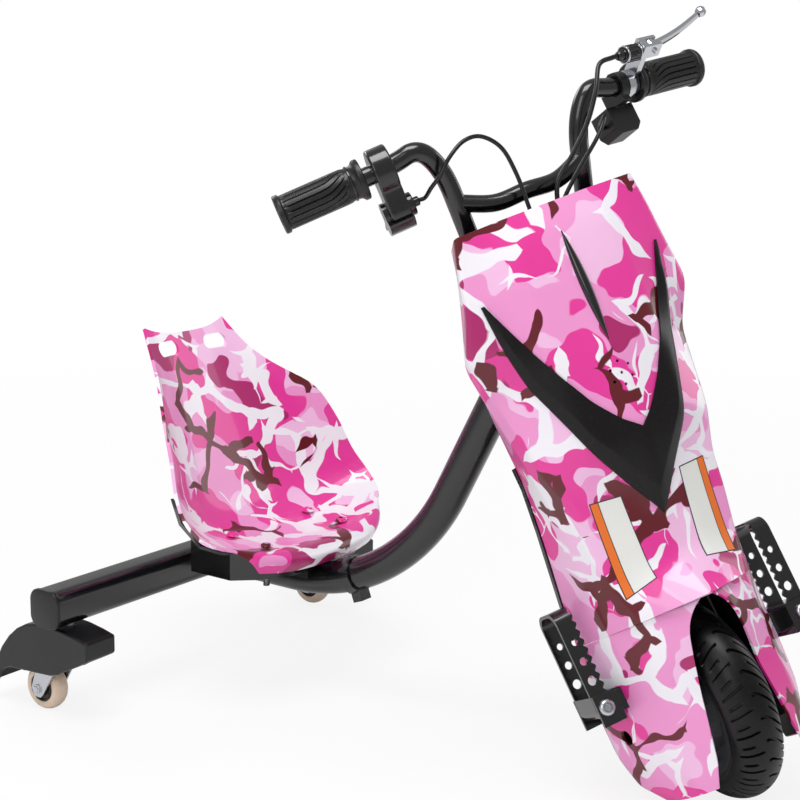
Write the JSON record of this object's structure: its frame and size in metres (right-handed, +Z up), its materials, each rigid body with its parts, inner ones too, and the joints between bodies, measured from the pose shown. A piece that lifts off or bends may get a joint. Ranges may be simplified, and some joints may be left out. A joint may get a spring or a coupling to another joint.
{
  "type": "tricycle drift scooter",
  "caption": "Drift tricycle scooter: driven front wheel in a faceted steering fairing, bent main tube with a bucket seat, and a square rear tube on hooded swivel casters.",
  "frame": {"origin": "centre of the bounding box's bottom face, on the floor", "axes": "+Z up, +Y from the front wheel to the rear casters, +X to the rider's left"},
  "size_m": [0.5766, 0.9054, 0.8172],
  "materials": {
    "black_paint": "satin black powder coat",
    "zinc_steel": "zinc plated",
    "silver_alloy": "polished",
    "grey_metal": "anodised grey",
    "dark_grey": "matt dark grey",
    "black_plastic": "fine-grained black",
    "black_gloss": "gloss black",
    "pink_shell": "gloss plastic with a pink camouflage pattern",
    "tyre_rubber": "black rubber",
    "grip_rubber": "soft black rubber",
    "cable_sheath": "smooth black sheath",
    "amber_tread": "pale amber polyurethane"
  },
  "bodies": {
    "frame": {"main_tube": "black_paint", "head_tube": "black_paint", "head_bearing_lower": "grey_metal", "head_bearing_upper": "grey_metal", "tube_collar": "black_paint", "rear_cross_tube": "black_paint", "end_cap_left": "black_plastic", "end_cap_right": "black_plastic", "seat_bracket": "black_paint", "seat_shell": "pink_shell", "seat_bolt_1": "zinc_steel", "seat_bolt_2": "zinc_steel", "seat_bolt_3": "zinc_steel", "seat_bolt_4": "zinc_steel"},
    "steering": {"steerer_and_lower_crown": "black_paint", "upper_crown": "black_paint", "fork_leg_left": "black_paint", "fork_leg_right": "black_paint", "front_axle": "zinc_steel", "front_shell": "pink_shell", "speaker": "black_plastic", "rear_cover": "black_plastic", "side_strip_left": "black_gloss", "side_strip_right": "black_gloss", "boot_left": "pink_shell", "boot_right": "pink_shell", "v_trim": "black_gloss", "centre_fin": "black_gloss", "handlebar": "black_paint", "grip_left": "grip_rubber", "grip_right": "grip_rubber", "throttle_housing": "black_plastic", "brake_bracket": "silver_alloy", "brake_adjuster": "grey_metal", "switch_box": "black_plastic", "throttle_cable": "cable_sheath", "brake_cable": "cable_sheath", "switch_lead": "cable_sheath", "battery": "dark_grey", "motor_controller": "grey_metal", "peg_bracket_left": "black_paint", "peg_bracket_right": "black_paint", "peg_bolt_left": "zinc_steel", "peg_bolt_right": "zinc_steel"},
    "front_wheel": {"hub_motor": "dark_grey", "tyre": "tyre_rubber"},
    "peg_left_body": {"peg_left": "black_paint"},
    "peg_right_body": {"peg_right": "black_paint"},
    "throttle": {"throttle_paddle": "black_plastic"},
    "brake": {"brake_lever": "silver_alloy"},
    "button": {"switch_button": "dark_grey"},
    "caster_left": {"caster_fork_left": "zinc_steel", "caster_hood_left": "black_plastic"},
    "caster_right": {"caster_fork_right": "zinc_steel", "caster_hood_right": "black_plastic"},
    "caster_wheel_left": {"caster_hub_left": "black_plastic", "caster_tread_left": "amber_tread"},
    "caster_wheel_right": {"caster_hub_right": "black_plastic", "caster_tread_right": "amber_tread"}
  },
  "joints": [
    {"name": "steering_turn", "type": "hinge", "parent": "frame", "child": "steering", "pos_m": [0, -0.35608, 0.11198], "axis": [0, 0.521, 0.8536], "range_deg": [-9.4, 80.6]},
    {"name": "front_wheel_roll", "type": "hinge", "parent": "steering", "child": "front_wheel", "pos_m": [0.00803, -0.3465, 0.10614], "axis": [0.8131, -0.4969, 0.3033], "continuous": true},
    {"name": "peg_left_fold", "type": "hinge", "parent": "steering", "child": "peg_left_body", "pos_m": [0.0992, -0.39534, 0.18398], "axis": [0.5821, 0.694, -0.4236], "range_deg": [0, 90]},
    {"name": "peg_right_fold", "type": "hinge", "parent": "steering", "child": "peg_right_body", "pos_m": [-0.0992, -0.2741, 0.10998], "axis": [-0.5821, -0.694, 0.4236], "range_deg": [0, 90]},
    {"name": "throttle_press", "type": "hinge", "parent": "steering", "child": "throttle", "pos_m": [-0.1864, -0.06116, 0.60562], "axis": [-0.6401, 0.6558, -0.4003], "range_deg": [0, 35], "stiffness_Nm_per_rad": 0.2, "springref_deg": -11.46},
    {"name": "brake_squeeze", "type": "hinge", "parent": "steering", "child": "brake", "pos_m": [0.0462, -0.22908, 0.77524], "axis": [0.1571, 0.8176, 0.5539], "range_deg": [0, 22], "stiffness_Nm_per_rad": 1, "springref_deg": -11.46},
    {"name": "button_press", "type": "slide", "parent": "steering", "child": "button", "axis": [-0.3584, -0.7969, 0.4864], "range_m": [0, 0.002], "stiffness_N_per_m": 400, "springref_m": -0.001},
    {"name": "caster_left_swivel", "type": "hinge", "parent": "frame", "child": "caster_left", "pos_m": [0.25, 0.3397, 0.06], "axis": [0, 0, 1], "continuous": true},
    {"name": "caster_right_swivel", "type": "hinge", "parent": "frame", "child": "caster_right", "pos_m": [-0.25, 0.3397, 0.06], "axis": [0, 0, 1], "continuous": true},
    {"name": "caster_left_roll", "type": "hinge", "parent": "caster_left", "child": "caster_wheel_left", "pos_m": [0.25, 0.3797, 0.028], "axis": [1, 0, 0], "continuous": true},
    {"name": "caster_right_roll", "type": "hinge", "parent": "caster_right", "child": "caster_wheel_right", "pos_m": [-0.25, 0.3797, 0.028], "axis": [1, 0, 0], "continuous": true}
  ]
}
